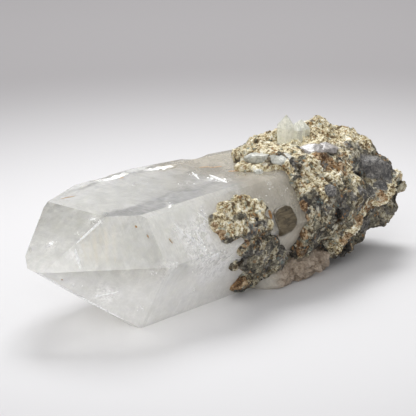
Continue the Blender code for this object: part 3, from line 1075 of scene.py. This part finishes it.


# Clusters of white shards just under the faces, painted glints of cracks: centre, spread, number and size
# of their shards
SPARKLES = (
    ((9.4, 6.5, 36.9), 1.6, 39, 0.92),
    ((21.6, -5.4, 46.2), 2.0, 46, 0.92),
    ((15.4, -3.8, 41.6), 1.8, 39, 0.92),
    ((21.3, -9.8, 46.3), 1.6, 32, 0.80),
    ((53.0, -28.5, 35.4), 2.4, 72, 1.38),
    ((56.0, -30.5, 31.2), 2.2, 72, 1.38),
    ((46.8, -25.0, 40.5), 2.0, 46, 1.03),
    ((63.5, -25.0, 41.0), 3.0, 61, 1.03),
    ((59.4, -33.5, 25.6), 2.4, 46, 1.15),
    ((66.5, -33.2, 26.2), 2.4, 46, 1.15),
    ((9.6, -5.4, 22.8), 1.0, 25, 0.92),
    ((11.9, -7.0, 22.0), 0.9, 21, 0.92),
    ((18.5, -10.2, 17.2), 1.2, 39, 1.15),
    ((21.5, -13.5, 18.0), 1.2, 39, 1.15),
    ((31.6, -27.2, 26.6), 1.6, 28, 0.92),
    ((32.7, -19.3, 10.5), 1.4, 25, 0.92),
    ((39.2, -31.0, 28.7), 1.6, 36, 1.03),
    ((54.2, -28.0, 23.6), 2.4, 43, 1.03),
    ((58.6, -21.8, 12.6), 1.6, 32, 1.03),
    ((55.0, -14.6, 1.2), 1.2, 25, 0.92),
    ((91.0, -5.0, 48.0), 2.6, 72, 1.38),
    ((90.0, -10.0, 48.0), 2.4, 64, 1.38),
    ((88.5, 4.0, 48.0), 2.2, 46, 1.15),
    ((51.6, -18.0, 48.0), 2.0, 43, 1.03),
    ((66.0, 14.0, 48.0), 5.0, 28, 0.80),
    ((76.0, -2.0, 48.0), 5.0, 32, 0.80),
    ((98.5, -24.5, 42.0), 2.4, 34, 1.0),
    ((105.0, -22.6, 45.0), 2.0, 26, 1.0),
    ((113.0, -25.0, 40.0), 3.0, 22, 0.9),
)

# Long clefts and bands under the faces: both ends, width, thickness and depth below the face
# Painted reflections: clefts painted white where the crystal's edge and its cracks reflect the light
WHITE_GLINT_BANDS = (
    ((12.7, -4.7, 16.7), (33.0, -14.6, 1.9), 1.5, 0.5, 0.0),
    ((23.0, -10.3, 47.6), (11.6, -5.7, 38.8), 1.1, 0.4, 0.0),
    ((11.2, -5.6, 37.4), (10.2, -9.4, 29.6), 1.2, 0.4, 0.0),
    ((17.9, -9.5, 16.8), (24.0, -16.1, 18.7), 0.9, 0.3, 0.0),
    ((59.4, -33.9, 25.2), (67.0, -33.6, 26.6), 0.9, 0.3, 0.0),
    ((93.5, 0.0, 48.0), (89.0, -14.4, 48.0), 1.8, 0.4, 0.0),
    ((92.0, 8.5, 48.0), (85.4, -2.0, 48.0), 0.9, 0.3, 0.0),
    ((50.6, -26.6, 38.6), (54.4, -29.6, 33.4), 2.0, 0.3, 0.0),
    ((53.2, -28.6, 35.2), (57.6, -31.4, 29.6), 1.7, 0.3, 0.0),
    ((47.2, -24.0, 42.6), (50.4, -27.4, 36.8), 1.1, 0.3, 0.0),
    ((56.0, -27.0, 38.4), (58.6, -30.6, 31.6), 0.9, 0.3, 0.0),
    ((61.0, -23.6, 43.8), (66.4, -26.6, 38.2), 1.0, 0.3, 0.0),
    ((9.0, 6.8, 37.2), (10.2, 4.6, 36.4), 1.4, 0.4, 0.0),
    ((20.6, -4.4, 45.8), (22.8, -6.8, 46.6), 1.2, 0.4, 0.0),
)
TAN_BANDS = (
    ((14.5, -5.9, 41.6), (12.6, -10.4, 31.0), 1.0, 0.2, 0.2),
    ((16.6, -7.2, 43.0), (14.0, -12.0, 30.8), 0.7, 0.2, 0.2),
    ((18.7, -8.4, 44.0), (15.4, -13.3, 30.8), 1.3, 0.2, 0.2),
    ((20.6, -9.8, 44.8), (16.8, -14.6, 30.7), 0.6, 0.2, 0.2),
    ((22.5, -11.1, 45.2), (18.2, -15.9, 30.7), 1.1, 0.2, 0.2),
    ((25.0, -13.0, 45.4), (20.5, -18.0, 30.7), 0.7, 0.2, 0.2),
)
RUST_SPECKS = (
    ((29.3, 21.6, 48.0), (36.4, 19.8, 48.0), 0.7, 0.35, 0.0),
    ((30.5, -19.3, 44.4), (31.2, -20.0, 43.5), 0.9, 0.6, 0.1),
    ((32.8, -23.5, 41.0), (33.3, -24.1, 39.4), 0.6, 0.5, 0.1),
    ((41.5, -26.7, 38.2), (42.6, -28.0, 35.9), 0.8, 0.5, 0.1),
    ((66.0, 25.4, 47.9), (67.6, 24.0, 47.9), 0.7, 0.5, 0.0),
    ((8.0, -0.5, 27.3), (8.4, -0.9, 26.7), 0.6, 0.5, 0.0),
    ((101.5, 7.4, 48.0), (106.5, 4.6, 48.0), 1.3, 0.4, 0.0),
    ((102.0, -2.6, 48.0), (106.5, -6.4, 48.0), 1.5, 0.4, 0.0),
    ((99.0, 11.0, 48.0), (103.0, 8.0, 48.0), 1.0, 0.4, 0.0),
    ((96.2, -30.0, 32.6), (96.8, -30.8, 30.8), 1.6, 0.4, 0.0),
    ((95.6, -35.0, 24.2), (96.3, -35.4, 22.8), 1.5, 0.4, 0.0),
    ((99.6, -27.4, 36.4), (98.8, -29.4, 33.0), 1.7, 0.4, 0.0),
    ((101.2, -33.4, 24.4), (102.0, -31.6, 21.0), 1.5, 0.4, 0.0),
)
DARK_SPECKS = (
    ((59.5, 11.9, 48.0), (60.2, 11.6, 48.0), 0.6, 0.4, 0.1),
    ((68.7, 14.8, 48.0), (69.3, 14.5, 48.0), 0.5, 0.4, 0.1),
    ((70.0, 5.0, 48.0), (70.7, 4.8, 48.0), 0.5, 0.4, 0.1),
    ((76.7, 2.6, 48.0), (77.4, 2.4, 48.0), 0.5, 0.4, 0.1),
    ((19.9, -12.4, 39.0), (24.0, -17.0, 37.7), 0.7, 0.2, 1.2),
)


def add_lens(bm, row, skin):
    """A flat sliver, tapered to both ends, under the face that lies nearest."""
    start, end = place(*row[0]), place(*row[1])
    width, thick, sink = row[2:]
    middle = (start + end) / 2
    found, normal, _, _ = skin.find_nearest(middle)
    along = (end - start).normalized()
    across = (normal + Vector((0.0, 0.0, 1.0))).cross(along).normalized()
    turn = Matrix((along, across, along.cross(across))).transposed().to_4x4()
    shift = Matrix.Translation(found - normal * sink * MM)
    size = Matrix.Diagonal(((end - start).length / 2, width * MM / 2, thick * MM / 2, 1.0))
    bmesh.ops.create_uvsphere(bm, u_segments=12, v_segments=6, radius=1.0, matrix=shift @ turn @ size)


def sparkle_spots(skin, draw):
    """Shards in clusters just under the faces, turned partly toward the light overhead, their white a
    painted glint.
    """
    spots = []
    for centre, spread, count, size in SPARKLES:
        for _ in range(count):
            guess = place(*centre) + Vector([draw.gauss(0, spread * 0.6) for _ in range(3)]) * MM
            found, normal, _, _ = skin.find_nearest(guess)
            point = found - normal * draw.choice((0.0, 0.05, 0.3, 0.8)) * MM
            turn = (normal + Vector((0.0, 0.0, 1.3))).to_track_quat("Z", "Y").to_euler()
            tip = [turn[0] + draw.gauss(0, 0.5), turn[1] + draw.gauss(0, 0.5), draw.uniform(0, FULL_TURN)]
            spots.append((point, tip, size * (0.3 + 1.1 * draw.random() ** 2), draw.uniform(0.7, 1.0)))
    return spots


class QUARTZ_OT_clefts(bpy.types.Operator):
    """Make the shards and pale bands painted white as glints and reflections, the tan bands and the rusty
    specks in and on the crystal
    """

    bl_idname = "quartz.clefts"
    bl_label = "Clefts and specks"

    def execute(self, context):
        skin = crystal_skin()
        spots = sparkle_spots(skin, random.Random(SHARD_SEED))
        settle(scatter("bright_shards", spots, flake_shape(veil_finish(), 0.10)), "milky_quartz")
        for name, rows, colour, alpha in (
            # Painted reflections and glints: the clefts are white
            ("white_clefts", WHITE_GLINT_BANDS, (1.0, 1.0, 0.99), 0.95),
            ("tan_bands", TAN_BANDS, (0.80, 0.70, 0.52), 0.38),
            ("rust_specks", RUST_SPECKS, (0.34, 0.17, 0.045), 0.95),
            ("dark_specks", DARK_SPECKS, (0.25, 0.20, 0.14), 0.7),
        ):
            bm = bmesh.new()
            for row in rows:
                add_lens(bm, row, skin)
            settle(new_object(name, bm, band_finish(name, colour, alpha)), "milky_quartz")
        return {"FINISHED"}


# Quartz lumps grown in the rock: centre, the three radii, turn about the upright and tilt
WHITE_LUMPS = (
    ((116.5, -5.0, 50.9), (5.8, 6.6, 2.6), 20, -12),
    ((121.5, -14.5, 51.3), (5.4, 5.4, 2.8), -15, 8),
    ((109.5, -13.6, 48.0), (2.6, 2.4, 1.2), 0, 20),
)
LILAC_LUMPS = (
    ((143.5, -14.0, 49.8), (7.5, 5.4, 2.8), -10, 12),
    ((151.0, -15.2, 49.7), (6.5, 5.0, 2.6), 8, 10),
)


def add_quartz_lump(bm, row):
    """A broken lump: a ball trimmed by flat cuts, with a slightly uneven skin."""
    centre, radii, turn, tilt = row
    lump = bmesh.new()
    bmesh.ops.create_icosphere(lump, subdivisions=4, radius=1.0)
    draw = random.Random(str(centre))
    cuts = []
    for _ in range(16):
        normal = Vector([draw.gauss(0, 1) for _ in range(3)]).normalized()
        cuts.append((normal, draw.uniform(0.66, 0.9)))
    seat = Vector(centre)
    for vert in lump.verts:
        way = vert.co.copy()
        reach = min([1.0] + [level / way.dot(normal) for normal, level in cuts if way.dot(normal) > level])
        vert.co = way * (reach + 0.035 * noise.fractal(way * 2.5 + seat, 0.8, 2.0, 3))
    place_turn = Matrix.Rotation(math.radians(turn), 4, "Z") @ Matrix.Rotation(math.radians(tilt), 4, "X")
    size = Matrix.Diagonal((*(Vector(radii) * MM), 1.0))
    where = Matrix.Translation(place(*centre)) @ place_turn @ size
    bmesh.ops.transform(lump, matrix=where, verts=lump.verts)
    mesh = bpy.data.meshes.new("lump")
    lump.to_mesh(mesh)
    lump.free()
    bm.from_mesh(mesh)
    bpy.data.meshes.remove(mesh)


def crumb_spots(rock, count, draw):
    """Places for crumbs on a rock's skin, with a tint that suits the zone."""
    faces = list(rock.polygons)
    spots = []
    while len(spots) < count:
        face = draw.choice(faces)
        spot = table_place(face.center)
        thin = noise.noise(spot / 5.0) < draw.uniform(-0.5, 0.3)
        if thin or spot.z < 2.5 or zone(spot, SMOOTH_ZONES) > 0.25:
            continue
        creamy, rusty = zone(spot, CREAM_ZONES), zone(spot, RUST_ZONES)
        if draw.random() > 0.3 + creamy + 0.5 * rusty:
            continue
        tint = draw.triangular(0.0, 0.50, 0.15)
        if draw.random() < creamy:
            tint = draw.uniform(0.42, 0.81)
        if draw.random() < 0.08 + 0.7 * rusty:
            tint = draw.uniform(0.82, 1.0)
        spots.append((face.center, any_turn(draw), 0.45 + 0.9 * draw.random() ** 3, tint))
    return spots


def crumb_shape(finish):
    """An angular crumb, one across."""
    bm = bmesh.new()
    bmesh.ops.create_icosphere(bm, subdivisions=1, radius=0.5)
    for vert in bm.verts:
        vert.co *= 0.75 + 0.5 * noise.cell(vert.co * 9.0 + Vector((3, 1, 2)))
    bmesh.ops.scale(bm, vec=(1.0, 0.85, 0.7), verts=bm.verts)
    return new_object("crumb", bm, finish)


class QUARTZ_OT_rock(bpy.types.Operator):
    """Carve the host rock and the near crust, and set crumbs on them"""

    bl_idname = "quartz.rock"
    bl_label = "Rock and crust"

    def execute(self, context):
        contact = crystal_skin()
        finish, crumbs = rock_finish("Host rock"), crumb_finish()
        draw = random.Random(CRUMB_SEED)
        sizes = settings()
        for node, name, voxel, slot, count in (
            ("matrix_rock", "host_rock", sizes.rock_voxel, "host_rock", sizes.rock_crumbs),
            ("front_crust", "near_crust", sizes.crust_voxel, "crust_rock", sizes.crust_crumbs),
        ):
            piece = new_object(name, node_copy(node), finish)
            remesh(piece, voxel)
            carve_rock(piece, contact)
            settle(piece, slot, node)
            grains = scatter(name + "_crumbs", crumb_spots(piece.data, count, draw), crumb_shape(crumbs))
            settle(grains, slot)
        return {"FINISHED"}


class QUARTZ_OT_lumps(bpy.types.Operator):
    """Make the smooth quartz lumps that grew in the rock"""

    bl_idname = "quartz.lumps"
    bl_label = "Quartz lumps"

    def execute(self, context):
        for name, rows, colour, deep, roughness in (
            ("white_lumps", WHITE_LUMPS, (0.62, 0.62, 0.56), (0.42, 0.42, 0.37), 0.35),
            ("lilac_lump", LILAC_LUMPS, (0.44, 0.41, 0.39), (0.28, 0.26, 0.245), 0.30),
        ):
            bm = bmesh.new()
            for row in rows:
                add_quartz_lump(bm, row)
            finish = lump_finish(name.replace("_", " ").capitalize(), colour, deep, roughness)
            settle(new_object(name, bm, finish), "host_rock")
        return {"FINISHED"}


def olive_finish():
    """Smooth olive-brown crystal, finely striated along its length."""
    made = Finish("Olive crystal", Specular_IOR_Level=0.6)
    lines = made.noise(0.7, 3.0, 0.6, made.coords((0.18, 1.0, 1.0), (0.0, 0.5, 0.0)))
    cloud = made.noise(3.0, 4.0, 0.6)
    mixed = lines * 0.6 + cloud * 0.4
    made.feed("Base Color", made.ramp(mixed, (
        (0.32, (0.022, 0.017, 0.009)), (0.48, (0.082, 0.061, 0.031)), (0.64, (0.18, 0.14, 0.078)),
    )))
    made.feed("Roughness", cloud.step(0.3, 0.7) * 0.2 + 0.25)
    made.bump(lines + cloud * 0.5, 0.25, 0.8)
    return made.material


def worn_copy(name, node, width, grow, finish):
    """A CAD node's crystal with worn edges, grown a little so that it still fills its seat."""
    bm = node_copy(node)
    middle = sum((vert.co for vert in bm.verts), Vector()) / len(bm.verts)
    bmesh.ops.scale(bm, vec=Vector((grow, grow, grow)), space=Matrix.Translation(-middle), verts=bm.verts)
    bmesh.ops.dissolve_limit(bm, angle_limit=math.radians(1.0), verts=bm.verts, edges=bm.edges)
    round_edges(bm, sharp_edges(bm, 20), width * MM, 3)
    bmesh.ops.triangulate(bm, faces=bm.faces)
    return new_object(name, bm, finish)


class QUARTZ_OT_small_crystals(bpy.types.Operator):
    """Make the olive crystal set in the near face and the side crystals on top of the rock"""

    bl_idname = "quartz.small_crystals"
    bl_label = "Small crystals"

    def execute(self, context):
        olive = worn_copy("olive_crystal", "set_crystal", 0.8, 1.10, olive_finish())
        settle(olive, "olive_crystal", "set_crystal")
        side = worn_copy("small_side_crystals", "side_crystals", 0.25, 1.0, side_finish())
        settle(side, "pale_quartz", "side_crystals")
        return {"FINISHED"}


TABLE_RADIUS = 4.0
# The table's colours from 430 mm and from 3400 mm off, beyond the colour near the specimen: the darker one
# is painted shade, where the light falls off
TABLE_SHADE = (0.26, 0.25, 0.255)
TABLE_FAR = (0.60, 0.59, 0.60)
# The softboxes: name, place and sides in metres, and power in watts
SOFTBOXES = (
    ("Overhead softbox", (0.48, 0.46, 0.85), (0.5, 0.5), 9.8),
    ("Front softbox", (-0.9, -0.45, 0.6), (0.8, 0.8), 4.8),
)
ROOM_BRIGHTNESS = 0.60


class QUARTZ_OT_stage(bpy.types.Operator):
    """Set the table, the soft studio light and the camera"""

    bl_idname = "quartz.stage"
    bl_label = "Table, light and camera"

    def execute(self, context):
        self.make_table()
        for row in SOFTBOXES:
            self.make_light(*row)
        self.make_world()
        self.make_camera()
        return {"FINISHED"}

    def make_table(self):
        """A round pale table, painted darker away from the specimen as shade where the light falls off,
        and pale again far off.
        """
        bm = bmesh.new()
        bmesh.ops.create_circle(bm, cap_ends=True, segments=96, radius=TABLE_RADIUS)
        made = Finish("Pale table", Roughness=0.9)
        parts = made.split_place(made.coords())
        away = (parts[0] * parts[0] + parts[1] * parts[1]) ** 0.5
        # Painted shade: the table darkens from 90 mm to 430 mm off
        shown = made.mix(away.step(90.0, 430.0), settings().table_colour, TABLE_SHADE)
        made.feed("Base Color", made.mix(away.step(1100.0, 3400.0), shown, TABLE_FAR))
        table = new_object("table", bm, made.material)

    def make_light(self, name, spot, size, power):
        data = bpy.data.lights.new(name, "AREA")
        data.shape = "RECTANGLE"
        data.size, data.size_y = size
        data.energy = power
        light = bpy.data.objects.new(name, data)
        light.location = spot
        light.visible_transmission = False
        light.rotation_mode = "QUATERNION"
        light.rotation_quaternion = (-Vector(spot)).to_track_quat("-Z", "Y")
        bpy.context.scene.collection.objects.link(light)

    def make_world(self):
        """A pale room, dimmer toward the horizon."""
        world = bpy.data.worlds.new("Soft room")
        world.use_nodes = True
        tree = world.node_tree
        way = tree.nodes.new("ShaderNodeTexCoord")
        parts = tree.nodes.new("ShaderNodeSeparateXYZ")
        ramp = tree.nodes.new("ShaderNodeValToRGB")
        Finish.set_stops(ramp.color_ramp, (
            (0.0, (0.50, 0.49, 0.50)), (0.30, (0.72, 0.72, 0.74)), (0.75, (1.0, 1.0, 1.0)),
        ))
        tree.links.new(way.outputs["Generated"], parts.inputs[0])
        tree.links.new(parts.outputs["Z"], ramp.inputs["Fac"])
        tree.links.new(ramp.outputs["Color"], tree.nodes["Background"].inputs["Color"])
        tree.nodes["Background"].inputs["Strength"].default_value = ROOM_BRIGHTNESS
        bpy.context.scene.world = world

    def make_camera(self):
        data = bpy.data.cameras.new("Camera")
        data.sensor_width = 36.0
        data.lens = CAMERA_LENS
        data.clip_start, data.clip_end = 0.05, 20.0
        camera = bpy.data.objects.new("Camera", data)
        right, up = Vector(CAMERA_RIGHT), Vector(CAMERA_UP)
        turn = Matrix((right, up, right.cross(up))).transposed()
        camera.matrix_world = Matrix.Translation(Vector(CAMERA_PLACE) * MM) @ turn.to_4x4()
        bpy.context.scene.collection.objects.link(camera)
        bpy.context.scene.camera = camera


class QUARTZ_PT_panel(bpy.types.Panel):
    """Lists the specimen's settings and pieces"""

    bl_idname = "QUARTZ_PT_panel"
    bl_label = "Quartz point"
    bl_space_type = "VIEW_3D"
    bl_region_type = "UI"
    bl_category = "Quartz point"

    def draw(self, context):
        column = self.layout.column()
        for name in QuartzSettings.__annotations__:
            column.prop(context.scene.quartz_point, name)
        for operator in OPERATORS:
            column.operator(operator.bl_idname)


OPERATORS = (
    QUARTZ_OT_crystal, QUARTZ_OT_root, QUARTZ_OT_veils, QUARTZ_OT_clefts,
    QUARTZ_OT_rock, QUARTZ_OT_lumps, QUARTZ_OT_small_crystals, QUARTZ_OT_stage,
)
CLASSES = (QuartzSettings, *OPERATORS, QUARTZ_PT_panel)


def register():
    for made in CLASSES:
        bpy.utils.register_class(made)
    bpy.types.Scene.quartz_point = PointerProperty(type=QuartzSettings)


def unregister():
    del bpy.types.Scene.quartz_point
    for made in reversed(CLASSES):
        bpy.utils.unregister_class(made)


def main():
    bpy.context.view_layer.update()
    register()
    bpy.context.scene.view_settings.view_transform = "Standard"
    bpy.ops.quartz.crystal()
    bpy.ops.quartz.root()
    bpy.ops.quartz.veils()
    bpy.ops.quartz.clefts()
    bpy.ops.quartz.rock()
    bpy.ops.quartz.lumps()
    bpy.ops.quartz.small_crystals()
    bpy.ops.quartz.stage()


if __name__ == "__main__":
    main()
